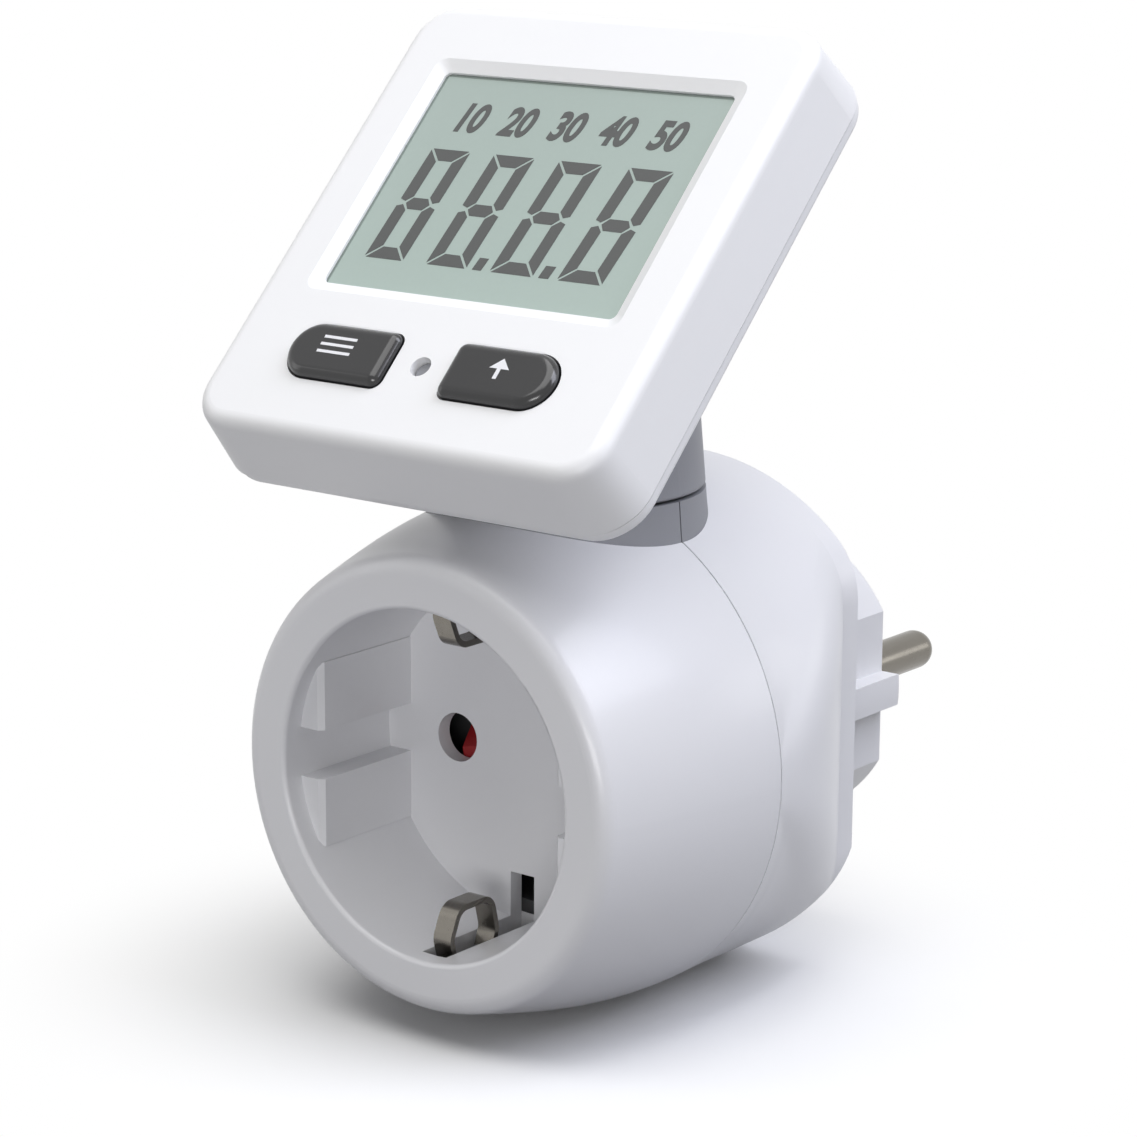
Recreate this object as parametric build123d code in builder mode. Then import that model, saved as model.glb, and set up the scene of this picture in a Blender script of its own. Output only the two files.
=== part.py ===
from build123d import *
from math import cos, radians, sin, tan
import os

os.makedirs("parts", exist_ok=True)

# Plug-in energy monitor: a round adapter body with a socket in front and a plug behind,
# and a square display head that swivels on a tapered neck.
# Millimetres, +Z up. The origin is the middle of the plug face, the pins point to +Y,
# the socket mouth faces -Y and the display stands above the body.

# Standard sizes of the earthed two-pin system
pin_pitch = 19.0
pin_radius = 2.4
pin_length = 19.0
pin_hole_radius = 2.85
insert_radius = 18.4
insert_length = 17.5
notch_flat = 15.9
guide_rib_half = 1.9
earth_channel_width = 6.0
earth_channel_floor = 15.2
well_radius = 19.75
well_depth = 18.1
rib_flat = 16.45
rib_top = 10.7
rib_groove_half = 2.84
rib_setback = 2.7
rib_slant = 0.6
earth_slot_width = 3.4
earth_slot_inner = 14.4
earth_slot_setback = 2.5

# Round body
body_length = 50.5
parting_depth = 25.9
parting_groove = 0.25
barrel_radius = 29.75
rim_inset = 4.45
rim_lean = 15.0
rim_edge = 2.2
mouth_edge = 0.55
flank_inset = 1.45
flank_depth = 12.0
rear_inset = 2.35
rear_edge_length = 6.5
wall = 2.0
floor_thickness = 2.0
rear_wall = 2.4
plug_wall = 3.0
insert_edge = 0.8
tongue_height = 1.0
skirt_depth = 25.5

# Flat sides of the rear shell: how far in from the barrel, and the corners between the two,
# at the parting, part of the way back and near the back wall
side_insets = (0.05, 1.65, 6.55)
side_corners = (20.0, 20.0, 10.0)
side_middle_share = 0.563
side_end_setback = 3.1

# Shell screws
screw_x = 15.6
screw_z = 16.9
screw_radius = 1.45
screw_head_radius = 2.8
screw_head_height = 1.8
screw_seat_depth = 6.0
screw_grip = 9.0
boss_radius = 3.0
boss_setback = 8.0

# Clearances
overrun = 2.0
press_gap = 0.03
slide_gap = 0.2
run_gap = 0.3
pivot_gap = 0.06

# Earth strips: the pad that a plug touches, a hoop in front of it, a tail behind it,
# and the run along the body to the contact on the plug
strip_width = 2.45
strip_thickness = 0.7
strip_bend = 1.9
strip_tight_bend = 0.9
strip_pad_level = 15.0
strip_pad_front = 5.6
strip_pad_back = 11.1
strip_hoop_reach = 1.5
strip_hoop_rise = 3.4
strip_tail_reach = 1.0
strip_tail_rise = 4.0
strip_tip_return = 0.8
strip_tip_rise = 2.2
strip_run_front = 5.3
strip_run_gap = 0.4
strip_run_setback = 4.1
strip_end_gap = 1.4

# Child-protection shutter
shutter_half_length = 10.8
shutter_width = 9.2
shutter_turn = 12.0
shutter_thickness = 4.6
shutter_ramp = 4.2
shutter_edge = 0.8
pivot_radius = 2.0
spring_radius = 3.3
spring_wire = 0.25
spring_pitch = 0.8
spring_turns = 2

# Contact carrier, contacts and pins
carrier_plate = 2.0
carrier_ring = 1.6
chamber_width = 9.0
contact_radius = 3.4
contact_bore = 2.5
contact_slit = 0.8
contact_slit_share = 0.714
contact_setback = 0.44
contact_tail_z = 2.6
contact_end = 1.0
tail_radius = 0.7
pin_neck_radius = 2.2
pin_seat_depth = 0.4
pin_head_radius = 3.4
pin_head_height = 1.8
pin_tail_radius = 1.2
solder_stub = 1.2

# Main board and what it carries
board_room = 11.3
board_thickness = 1.6
board_edge_gap = 0.55
pad_x = 18.0
pad_radius = 1.8
post_radius = 2.6
post_z = 9.0
small_screw_radius = 1.0
small_screw_head = 1.9
small_screw_head_height = 1.1
small_screw_grip = 6.0
film_size = (11.0, 13.0, 15.0)
storage_radius = 2.4
storage_length = 12.0
storage_z = 16.6
shunt_span = 12.0
shunt_height = 4.2
shunt_width = 3.0
shunt_strip = 0.8
shunt_z = 17.0
chip_size = (7.0, 5.0, 1.2)
chip_z = 17.0

# Collar and neck
collar_radius = 16.1
collar_drop = 0.15
collar_height = 6.3
collar_slit = 0.2
neck_lean = 4.9
neck_wall = 2.0
neck_end_wall = 2.4
neck_edge = 0.4
neck_spigot_radius = 11.0
neck_spigot_setback = 0.9
neck_lip_radius = 12.2
neck_lip_height = 1.2
neck_lip_setback = 1.9
neck_bore_radius = 8.6
neck_screw_high = 12.0
neck_screw_low = 8.5
neck_screw_x = 8.2
cable_hole_radius = 4.6
cable_hole_up = -1.4

# Display head
head_tilt = 45.0
head_lead = 8.0
head_lift = 33.95
head_width = 57.3
head_height = 61.9
head_low = 36.2
head_corner = 6.0
head_draft = 6.6
head_edge = 1.7
case_depth = 9.1
case_wall = 1.6
head_thickness = 11.05
cover_gap = 0.35
cover_inset = 0.25
cover_edge = 0.9
cover_lip = 1.2
cover_lip_height = 1.3
head_post_radius = 2.1
head_post_side_inset = 6.05
head_post_top_inset = 4.4
head_post_low_inset = 5.2
window_side = 8.6
window_height = 30.3
window_corner = 0.8
window_bevel = 1.5
window_bevel_depth = 0.7
window_wall = 1.0

# Display
panel_border = 2.25
panel_thickness = 2.1
holder_rim = 1.2
holder_ledge = 3.3
holder_bar = 3.0
connector_inset = 4.3
connector_thickness = 2.2
connector_setback = 3.4
display_board_depth = 5.45
display_board_inset = 2.9

# Buttons
button_length = 14.1
button_height = 7.0
button_inner = 4.0
button_low = 24.6
button_proud = 1.0
button_corner = 1.15
button_crown = 1.05
button_travel = 0.6
button_flange = 0.8
reset_hole_radius = 1.25
reset_radius = 1.0
reset_recess = 0.9
reset_travel = 0.4
reset_flange_radius = 2.0
switch_width = 6.0
switch_height = 1.5
switch_plunger_radius = 1.5
small_switch_width = 4.2

# Small parts in the head
neck_screw_length = 3.8
cover_seat_depth = 0.9
small_edge = 0.4
strap_foot = 1.6

# Backup cell and cable
cell_radius = 8.0
cell_thickness = 1.4
cell_inset = 16.65
cell_low = 23.0
clip_strip = 0.3
clip_width = 4.0
cable_radius = 1.2
cable_bends = ((5.5, 38.8, 17.5), (4.6, 33.0, 19.5), (3.0, 28.6, 25.0), (1.0, 25.0, 38.0))

# Places along the body, worked out from the sizes above
rim_y = -(body_length + insert_length)
parting_y = rim_y + parting_depth
flange_y = -insert_length
rim_radius = barrel_radius - rim_inset
flank_radius = barrel_radius - flank_inset
rear_radius = barrel_radius - rear_inset
barrel_end_depth = body_length - rear_edge_length
side_end_depth = body_length - side_end_setback
side_middle_depth = parting_depth + side_middle_share * (side_end_depth - parting_depth)
side_depths = (parting_depth, side_middle_depth, side_end_depth)
floor_back = well_depth + floor_thickness
carrier_depth = skirt_depth + press_gap
board_depth = body_length - board_room
chamber_back = board_depth - press_gap
strip_run_level = well_radius + wall + strip_run_gap + strip_thickness / 2
strip_run_back = body_length - strip_run_setback
board_radius = strip_run_level - strip_thickness / 2 - board_edge_gap

# Places on the collar, the neck and the head, worked out from the sizes above
collar_top = barrel_radius - collar_drop
collar_bottom = collar_top - collar_height
neck_base = collar_top + run_gap
neck_base_radius = collar_radius - (neck_base - collar_bottom) * tan(radians(neck_lean))
neck_spigot_bottom = collar_bottom + neck_spigot_setback
neck_lip_bottom = collar_bottom + neck_lip_setback
neck_screw_spots = (
    (0, neck_screw_high),
    (-neck_screw_x, -neck_screw_low),
    (neck_screw_x, -neck_screw_low),
)
head_rise = barrel_radius + head_lift
head_mid = head_height / 2 - head_low
cover_front = case_depth + cover_gap
display_board_back = display_board_depth + board_thickness
head_post_x = head_width / 2 - head_post_side_inset
head_post_top = head_height - head_low - head_post_top_inset
head_post_low = head_low - head_post_low_inset
window_width = head_width - 2 * window_side
panel_width = window_width + 2 * panel_border
panel_height = window_height + 2 * panel_border
connector_low = panel_height / 2 - connector_setback
cell_x = head_width / 2 - cell_inset


def at_depth(depth):
    # Cross-section of the body, measured from the rim: local X is X, local Y is Z,
    # and a positive extrusion goes towards the socket mouth
    return Plane.XZ.offset(-(rim_y + depth))


def at_y(y):
    return Plane.XZ.offset(-y)


# Head frame: X across, Y up the slanted face, Z out of the face, from the middle of the display
head_face = Plane(
    origin=(0, parting_y - head_lead, head_rise),
    x_dir=(1, 0, 0),
    z_dir=(0, -sin(radians(head_tilt)), cos(radians(head_tilt))),
)
neck_axis = Axis((0, parting_y, 0), (0, 0, 1))


def head_at(depth):
    # Section of the head, measured from its front face
    return head_face.offset(-depth)


def write(piece, name):
    piece.part.label = name
    export_step(piece.part, f"parts/{name}.step")


def mirrored_pair(piece, name_left, name_right):
    # The piece as drawn, and its mirror image across the middle of the object
    write(piece, name_right)
    with BuildPart() as other:
        mirror(piece.part, about=Plane.YZ)
    write(other, name_left)


def front_form(inset):
    # Flat rim, leaning flank and round barrel, drawn in by inset
    with BuildPart() as form:
        with BuildSketch(Plane.XY):
            with BuildLine():
                Spline(
                    (rim_radius - inset, rim_y + inset),
                    (flank_radius - inset, rim_y + flank_depth),
                    (barrel_radius - inset, parting_y),
                    tangents=((sin(radians(rim_lean)), cos(radians(rim_lean))), (0, 1)),
                )
                Polyline(
                    (barrel_radius - inset, parting_y),
                    (0, parting_y),
                    (0, rim_y + inset),
                    (rim_radius - inset, rim_y + inset),
                )
            make_face()
        revolve(axis=Axis.Y)
    return form.part


def rear_form(inset, end_depth):
    # Round barrel with a rounded rear edge, cut by two flat sides that blend into it
    with BuildPart() as form:
        for depth, side_inset, corner in zip(side_depths, side_insets, side_corners):
            half_width = barrel_radius - side_inset - inset
            with BuildSketch(at_depth(depth)):
                Circle(barrel_radius - inset)
                Rectangle(2 * half_width, 2 * barrel_radius, mode=Mode.INTERSECT)
                fillet(vertices(), radius=corner - inset)
        loft()
        extrude(faces().sort_by(Axis.Y)[-1], amount=end_depth - side_end_depth)
        with BuildSketch(Plane.XY):
            with BuildLine():
                Polyline(
                    (rear_radius - inset, rim_y + body_length),
                    (0, rim_y + body_length),
                    (0, parting_y),
                    (barrel_radius - inset, parting_y),
                    (barrel_radius - inset, rim_y + barrel_end_depth),
                )
                TangentArc(
                    (barrel_radius - inset, rim_y + barrel_end_depth),
                    (rear_radius - inset, rim_y + body_length),
                    tangent=(0, 1),
                )
            make_face()
        revolve(axis=Axis.Y, mode=Mode.INTERSECT)
    return form.part


def neck_form(inset, bottom, end_depth):
    # Upright cone that leans in by neck_lean, cut off level with the back of the head
    with BuildPart() as form:
        rise = head_rise + head_height - bottom
        low_radius = neck_base_radius - inset - (bottom - neck_base) * tan(radians(neck_lean))
        with Locations((0, parting_y, bottom)):
            Cone(
                low_radius,
                low_radius - rise * tan(radians(neck_lean)),
                rise,
                align=(Align.CENTER, Align.CENTER, Align.MIN),
            )
        split(bisect_by=head_at(end_depth), keep=Keep.BOTTOM)
    return form.part


def collar_form(grow, top):
    # Cone that both shells clasp, wider below so that it cannot lift out
    with BuildPart() as form:
        rise = top - collar_bottom
        with Locations((0, parting_y, collar_bottom)):
            Cone(
                collar_radius + grow,
                collar_radius + grow - rise * tan(radians(neck_lean)),
                rise,
                align=(Align.CENTER, Align.CENTER, Align.MIN),
            )
    return form.part


def from_behind(plane):
    # The same plane looked at from its other side: local Y is turned over
    return Plane(origin=plane.origin, x_dir=plane.x_dir, z_dir=-plane.z_dir)


def screw_group(plane, spots, radius, length, head_radius, head_height):
    # Pan-head screws whose shanks go down into the plane
    with BuildPart() as group:
        with BuildSketch(plane):
            with Locations(*spots):
                Circle(head_radius)
        extrude(amount=head_height)
        chamfer(faces().sort_by(Axis(plane.origin, plane.z_dir))[-len(spots):].edges(),
                length=head_height / 3)
        with BuildSketch(plane):
            with Locations(*spots):
                Circle(radius)
        extrude(amount=-length)
    return group


shell_spots = [(x, z) for x in (-screw_x, screw_x) for z in (-screw_z, screw_z)]

# Front shell with the socket recess
with BuildPart() as front_shell:
    add(front_form(0))
    fillet(edges().filter_by(GeomType.CIRCLE).sort_by(Axis.Y)[0], radius=rim_edge)
    add(front_form(wall), mode=Mode.SUBTRACT)
    # recess tube with its skirt behind the floor, and the screw bosses
    with BuildSketch(at_depth(skirt_depth)):
        Circle(well_radius + wall)
    extrude(amount=skirt_depth - wall / 2)
    with BuildSketch(at_depth(parting_depth)):
        with Locations(*shell_spots):
            Circle(boss_radius)
    extrude(amount=parting_depth - boss_setback)
    # tongue that centres the rear shell
    with BuildSketch(at_depth(parting_depth + tongue_height)):
        Circle(barrel_radius - wall / 2 - slide_gap)
        Circle(barrel_radius - wall - slide_gap, mode=Mode.SUBTRACT)
    extrude(amount=2 * tongue_height)
    # recess: round at the mouth, four slanted guide ribs behind it
    with BuildSketch(at_depth(well_depth)):
        Circle(well_radius)
    extrude(amount=well_depth + overrun, mode=Mode.SUBTRACT)
    with BuildSketch(at_depth(well_depth + wall / 2)):
        rib_reach = well_radius + wall / 2 - rib_flat
        with GridLocations(2 * rib_flat + rib_reach, rib_top + rib_groove_half, 2, 2):
            Rectangle(rib_reach, rib_top - rib_groove_half)
    extrude(amount=well_depth + wall / 2 - rib_setback)
    rib_ends = edges().filter_by(Axis.Z).filter_by(
        lambda e: abs(abs(e.center().X) - rib_flat) < slide_gap
        and abs(e.center().Y - rim_y - rib_setback) < slide_gap
    )
    chamfer(rib_ends, length=rib_slant)
    with BuildSketch(at_depth(skirt_depth)):
        Circle(well_radius)
    extrude(amount=skirt_depth - floor_back, mode=Mode.SUBTRACT)
    # pin holes and earth slots
    with BuildSketch(at_depth(floor_back)):
        with GridLocations(pin_pitch, 0, 2, 1):
            Circle(pin_hole_radius)
    extrude(amount=floor_thickness, mode=Mode.SUBTRACT)
    with BuildSketch(at_depth(floor_back)):
        slot_height = well_radius + wall + overrun - earth_slot_inner
        with GridLocations(0, 2 * earth_slot_inner + slot_height, 1, 2):
            Rectangle(earth_slot_width, slot_height)
    extrude(amount=floor_back - earth_slot_setback, mode=Mode.SUBTRACT)
    # screw holes and the seat of the collar
    with BuildSketch(at_depth(parting_depth)):
        with Locations(*shell_spots):
            Circle(screw_radius + press_gap)
    extrude(amount=parting_depth - boss_setback - wall, mode=Mode.SUBTRACT)
    add(collar_form(press_gap, barrel_radius + overrun), mode=Mode.SUBTRACT)
    mouth = edges().filter_by(GeomType.CIRCLE).filter_by(
        lambda e: abs(e.radius - well_radius) < press_gap
    )
    fillet(mouth.sort_by(Axis.Y)[0], radius=mouth_edge)
write(front_shell, "front_shell")

# Rear shell with the plug insert
with BuildPart() as rear_shell:
    add(rear_form(0, body_length))
    add(rear_form(wall, body_length - rear_wall), mode=Mode.SUBTRACT)
    # screw tubes, with wider ends round the sunk screw heads
    with BuildSketch(at_depth(parting_depth)):
        with Locations(*shell_spots):
            Circle(boss_radius)
    extrude(amount=-(body_length - parting_depth - rear_wall / 2))
    with BuildSketch(at_depth(body_length - rear_wall / 2)):
        with Locations(*shell_spots):
            Circle(screw_head_radius + slide_gap + wall / 2)
    extrude(amount=screw_seat_depth)
    # plug insert: a cylinder with two notches on each side of a guide rib
    with BuildSketch(at_y(flange_y)):
        Circle(insert_radius)
        notch_depth = 2 * (insert_radius - notch_flat)
        notch_height = insert_radius - guide_rib_half
        with GridLocations(2 * notch_flat + notch_depth, notch_height + 2 * guide_rib_half, 2, 2):
            Rectangle(notch_depth, notch_height, mode=Mode.SUBTRACT)
    extrude(amount=-insert_length)
    fillet(faces().sort_by(Axis.Y)[-1].edges(), radius=insert_edge)
    # hollow inside the insert, open to the body
    with BuildSketch(at_y(-plug_wall)):
        Circle(insert_radius - wall)
        Rectangle(
            2 * (notch_flat - wall), 2 * (earth_channel_floor - wall), mode=Mode.INTERSECT
        )
    extrude(amount=insert_length - plug_wall + rear_wall, mode=Mode.SUBTRACT)
    # pin holes with a shallow seat, earth channels above and below, slots that the strips pass through
    with BuildSketch(at_y(0)):
        with GridLocations(pin_pitch, 0, 2, 1):
            Circle(pin_neck_radius + press_gap)
    extrude(amount=plug_wall, mode=Mode.SUBTRACT)
    with BuildSketch(at_y(0)):
        with GridLocations(pin_pitch, 0, 2, 1):
            Circle(pin_radius + slide_gap)
    extrude(amount=pin_seat_depth, mode=Mode.SUBTRACT)
    channel_height = insert_radius + overrun - earth_channel_floor
    with BuildSketch(at_y(0)):
        with GridLocations(0, 2 * earth_channel_floor + channel_height, 1, 2):
            Rectangle(earth_channel_width, channel_height)
    extrude(amount=insert_length, mode=Mode.SUBTRACT)
    slot_gauge = strip_thickness + 2 * slide_gap
    with BuildSketch(at_y(flange_y)):
        with GridLocations(0, 2 * earth_channel_floor + slot_gauge, 1, 2):
            Rectangle(strip_width + 2 * slide_gap, slot_gauge)
    extrude(amount=rear_wall, mode=Mode.SUBTRACT)
    # pads that hold the main board against the contact carrier
    with BuildSketch(at_depth(board_depth + board_thickness + press_gap)):
        with GridLocations(2 * pad_x, 0, 2, 1):
            Circle(pad_radius)
    extrude(amount=-(body_length - rear_wall / 2 - board_depth - board_thickness))
    # screw holes with sunk seats, rebate for the tongue, fine groove at the parting, seat of the collar
    with BuildSketch(at_y(flange_y)):
        with Locations(*shell_spots):
            Circle(screw_radius + slide_gap)
    extrude(amount=body_length - parting_depth, mode=Mode.SUBTRACT)
    with BuildSketch(at_y(flange_y - screw_seat_depth)):
        with Locations(*shell_spots):
            Circle(screw_head_radius + slide_gap)
    extrude(amount=-(screw_seat_depth + overrun), mode=Mode.SUBTRACT)
    with BuildSketch(at_depth(parting_depth)):
        Circle(barrel_radius - wall / 2)
        Circle(barrel_radius - wall - overrun, mode=Mode.SUBTRACT)
    extrude(amount=-(tongue_height + slide_gap), mode=Mode.SUBTRACT)
    with BuildSketch(at_depth(parting_depth)):
        Circle(barrel_radius + overrun)
        Circle(barrel_radius - parting_groove, mode=Mode.SUBTRACT)
    extrude(amount=-parting_groove, mode=Mode.SUBTRACT)
    add(collar_form(press_gap, barrel_radius + overrun), mode=Mode.SUBTRACT)
write(rear_shell, "rear_shell")


body_screws = screw_group(
    from_behind(at_y(flange_y - screw_seat_depth + press_gap)),
    shell_spots,
    screw_radius,
    body_length - parting_depth - screw_seat_depth + screw_grip,
    screw_head_radius,
    screw_head_height,
)
write(body_screws, "body_screws")

# Plug pins: round tip, neck through the plug wall, head behind it, thin tail to the main board
with BuildPart() as pin_right:
    with BuildSketch(Plane.XY):
        with BuildLine():
            tail_end = rim_y + board_depth
            Polyline(
                (pin_pitch / 2 + pin_radius, pin_length - pin_radius),
                (pin_pitch / 2 + pin_radius, press_gap),
                (pin_pitch / 2 + pin_neck_radius, press_gap),
                (pin_pitch / 2 + pin_neck_radius, -plug_wall - press_gap),
                (pin_pitch / 2 + pin_head_radius, -plug_wall - press_gap),
                (pin_pitch / 2 + pin_head_radius, -plug_wall - pin_head_height),
                (pin_pitch / 2 + pin_tail_radius, -plug_wall - pin_head_height),
                (pin_pitch / 2 + pin_tail_radius, tail_end),
                (pin_pitch / 2, tail_end),
                (pin_pitch / 2, pin_length),
            )
            RadiusArc(
                (pin_pitch / 2, pin_length),
                (pin_pitch / 2 + pin_radius, pin_length - pin_radius),
                pin_radius,
            )
        make_face()
    revolve(axis=Axis((pin_pitch / 2, 0, 0), (0, 1, 0)))
mirrored_pair(pin_right, "pin_left", "pin_right")

# Earth strips: clip in the socket, run along the body, contact in the channel of the plug
with BuildPart() as earth_clip_top:
    # each bend of the clip is depth from the rim and height from the middle of the body
    tail_depth = strip_pad_back + strip_tail_reach
    tail_level = strip_pad_level + strip_tail_rise
    channel_level = earth_channel_floor + slide_gap / 2 + strip_thickness / 2
    clip_bends = (
        (tail_depth - strip_tip_return, tail_level + strip_tip_rise),
        (tail_depth, tail_level),
        (strip_pad_back, strip_pad_level),
        (strip_pad_front, strip_pad_level),
        (strip_pad_front - strip_hoop_reach, strip_pad_level + strip_hoop_rise),
        (strip_run_front, strip_run_level),
        (strip_run_back, strip_run_level),
        (strip_run_back, channel_level),
    )
    with BuildSketch(Plane.YZ):
        with BuildLine():
            FilletPolyline(
                *[(rim_y + depth, level) for depth, level in clip_bends],
                (-strip_end_gap, channel_level),
                radius=[strip_bend] * (len(clip_bends) - 3) + [strip_tight_bend] * 2,
            )
        trace(line_width=strip_thickness)
    extrude(amount=strip_width / 2, both=True)
write(earth_clip_top, "earth_clip_top")
with BuildPart() as earth_clip_bottom:
    mirror(earth_clip_top.part, about=Plane.XY)
write(earth_clip_bottom, "earth_clip_bottom")

# Shutter: a bar that covers both pin holes and turns aside when pins press on its two ramps
shutter_front = floor_back + run_gap
shutter_back = shutter_front + shutter_thickness
with BuildPart() as shutter:
    with BuildSketch(at_depth(shutter_back)):
        Rectangle(2 * shutter_half_length, shutter_width, rotation=shutter_turn)
    extrude(amount=shutter_thickness)
    fillet(edges().filter_by(Axis.Y), radius=shutter_edge)
    for arm in (shutter_turn, shutter_turn + 180):
        out = (cos(radians(arm)), 0, sin(radians(arm)))
        aside = (-sin(radians(arm)), 0, cos(radians(arm)))
        arm_plane = Plane(origin=(0, rim_y + shutter_front, 0), x_dir=aside, z_dir=out)
        with BuildSketch(arm_plane.offset(spring_radius)):
            with BuildLine():
                Polyline(
                    (-shutter_width / 2, 0),
                    (shutter_ramp - shutter_width / 2, 0),
                    (-shutter_width / 2, -shutter_ramp),
                    close=True,
                )
            make_face()
        extrude(amount=shutter_half_length, mode=Mode.SUBTRACT)
    with BuildSketch(at_depth(shutter_back)):
        Circle(pivot_radius + pivot_gap)
    extrude(amount=shutter_thickness, mode=Mode.SUBTRACT)
    with BuildSketch(at_depth(shutter_back)):
        Circle(spring_radius + spring_wire + run_gap)
    extrude(amount=spring_turns * spring_pitch + run_gap, mode=Mode.SUBTRACT)
write(shutter, "shutter")

with BuildPart() as shutter_spring:
    with BuildLine():
        coil = Helix(
            spring_pitch,
            spring_pitch * spring_turns,
            spring_radius,
            center=(0, rim_y + carrier_depth - spring_wire - press_gap, 0),
            direction=(0, -1, 0),
        )
    with BuildSketch(Plane(origin=coil @ 0, z_dir=coil % 0)):
        RegularPolygon(spring_wire, 6)
    sweep(is_frenet=True)
write(shutter_spring, "shutter_spring")

# Contact carrier: plate behind the skirt, ring inside it, pivot, contact chambers, screw posts
chamber_front = carrier_depth + carrier_plate
with BuildPart() as contact_carrier:
    with BuildSketch(at_depth(chamber_front)):
        Circle(well_radius + wall)
    extrude(amount=carrier_plate)
    with BuildSketch(at_depth(chamber_front - carrier_plate / 2)):
        Circle(well_radius - press_gap)
        Circle(well_radius - press_gap - carrier_ring, mode=Mode.SUBTRACT)
        Circle(pivot_radius)
    extrude(amount=chamber_front - carrier_plate / 2 - floor_back - press_gap)
    with BuildSketch(at_depth(chamber_back)):
        with GridLocations(pin_pitch, 0, 2, 1):
            Rectangle(chamber_width, chamber_width)
        with GridLocations(0, 2 * post_z, 1, 2):
            Circle(post_radius)
    extrude(amount=chamber_back - chamber_front)
    with BuildSketch(at_depth(chamber_back)):
        with GridLocations(pin_pitch, 0, 2, 1):
            Circle(contact_radius + press_gap)
    extrude(amount=chamber_back - chamber_front, mode=Mode.SUBTRACT)
    with BuildSketch(at_depth(chamber_front)):
        with GridLocations(pin_pitch, 0, 2, 1):
            Circle(pin_hole_radius)
        with Locations(*shell_spots):
            Circle(boss_radius + run_gap)
    extrude(amount=carrier_plate, mode=Mode.SUBTRACT)
    with BuildSketch(at_depth(chamber_back)):
        with GridLocations(0, 2 * post_z, 1, 2):
            Circle(small_screw_radius + press_gap)
    extrude(amount=small_screw_grip + press_gap, mode=Mode.SUBTRACT)
    # clearance for the two earth strips
    with BuildSketch(at_depth(chamber_front)):
        with GridLocations(0, 2 * (well_radius + wall), 1, 2):
            Rectangle(earth_slot_width, wall)
    extrude(amount=carrier_plate, mode=Mode.SUBTRACT)
write(contact_carrier, "contact_carrier")

# Socket contacts: slit sleeves, closed at the back, with a tail through the main board
with BuildPart() as socket_contact_right:
    contact_front = chamber_front + press_gap
    contact_back = board_depth - contact_setback
    contact_length = contact_back - contact_front
    contact_slit_length = contact_slit_share * contact_length
    with BuildSketch(at_depth(contact_back)):
        with Locations((pin_pitch / 2, 0)):
            Circle(contact_radius)
    extrude(amount=contact_length)
    with BuildSketch(at_depth(contact_back - contact_end)):
        with Locations((pin_pitch / 2, 0)):
            Circle(contact_bore)
    extrude(amount=contact_length - contact_end, mode=Mode.SUBTRACT)
    with BuildSketch(at_depth(contact_front + contact_slit_length)):
        with Locations((pin_pitch / 2, 0)):
            Rectangle(contact_slit, 2 * contact_radius + overrun)
    extrude(amount=contact_slit_length, mode=Mode.SUBTRACT)
    with BuildSketch(at_depth(board_depth + board_thickness + solder_stub)):
        with Locations((pin_pitch / 2, contact_tail_z)):
            Circle(tail_radius)
    extrude(amount=board_depth + board_thickness + solder_stub - contact_back)
mirrored_pair(socket_contact_right, "socket_contact_left", "socket_contact_right")

# Main board with its parts
with BuildPart() as main_board:
    with BuildSketch(at_depth(board_depth + board_thickness)):
        Circle(board_radius)
        with Locations(*shell_spots):
            Circle(boss_radius + run_gap, mode=Mode.SUBTRACT)
        with GridLocations(pin_pitch, 0, 2, 1):
            Circle(pin_tail_radius + press_gap, mode=Mode.SUBTRACT)
        with GridLocations(pin_pitch, 0, 2, 1):
            with Locations((0, contact_tail_z)):
                Circle(tail_radius + press_gap, mode=Mode.SUBTRACT)
        with GridLocations(0, 2 * post_z, 1, 2):
            Circle(small_screw_radius + slide_gap / 2, mode=Mode.SUBTRACT)
    extrude(amount=board_thickness)
write(main_board, "main_board")

board_back = board_depth + board_thickness + press_gap
board_screws = screw_group(
    from_behind(at_depth(board_back)),
    [(0, -post_z), (0, post_z)],
    small_screw_radius,
    board_thickness + small_screw_grip,
    small_screw_head,
    small_screw_head_height,
)
write(board_screws, "board_screws")

with BuildPart() as film_capacitor:
    film_width, film_height, film_depth = film_size
    with BuildSketch(from_behind(at_depth(board_back))):
        Rectangle(film_width, film_height)
    extrude(amount=film_depth)
    fillet(edges(), radius=small_edge)
write(film_capacitor, "film_capacitor")

with BuildPart() as storage_capacitor:
    can_plane = Plane.YZ.offset(-storage_length / 2)
    with BuildSketch(can_plane):
        with Locations((rim_y + board_back + storage_radius, -storage_z)):
            Circle(storage_radius)
    extrude(amount=storage_length)
    fillet(edges().filter_by(GeomType.CIRCLE), radius=small_edge)
write(storage_capacitor, "storage_capacitor")

with BuildPart() as shunt_resistor:
    with BuildSketch(Plane.XY.offset(shunt_z)):
        with BuildLine():
            foot = rim_y + board_back
            FilletPolyline(
                (-shunt_span / 2, foot),
                (-shunt_span / 2, foot + shunt_height),
                (shunt_span / 2, foot + shunt_height),
                (shunt_span / 2, foot),
                radius=shunt_strip * 2,
            )
        trace(line_width=shunt_strip)
    extrude(amount=shunt_width / 2, both=True)
write(shunt_resistor, "shunt_resistor")

with BuildPart() as metering_chip:
    chip_width, chip_height, chip_depth = chip_size
    with BuildSketch(at_depth(board_depth - press_gap)):
        with Locations((0, -chip_z)):
            Rectangle(chip_width, chip_height)
    extrude(amount=chip_depth)
write(metering_chip, "metering_chip")

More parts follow.
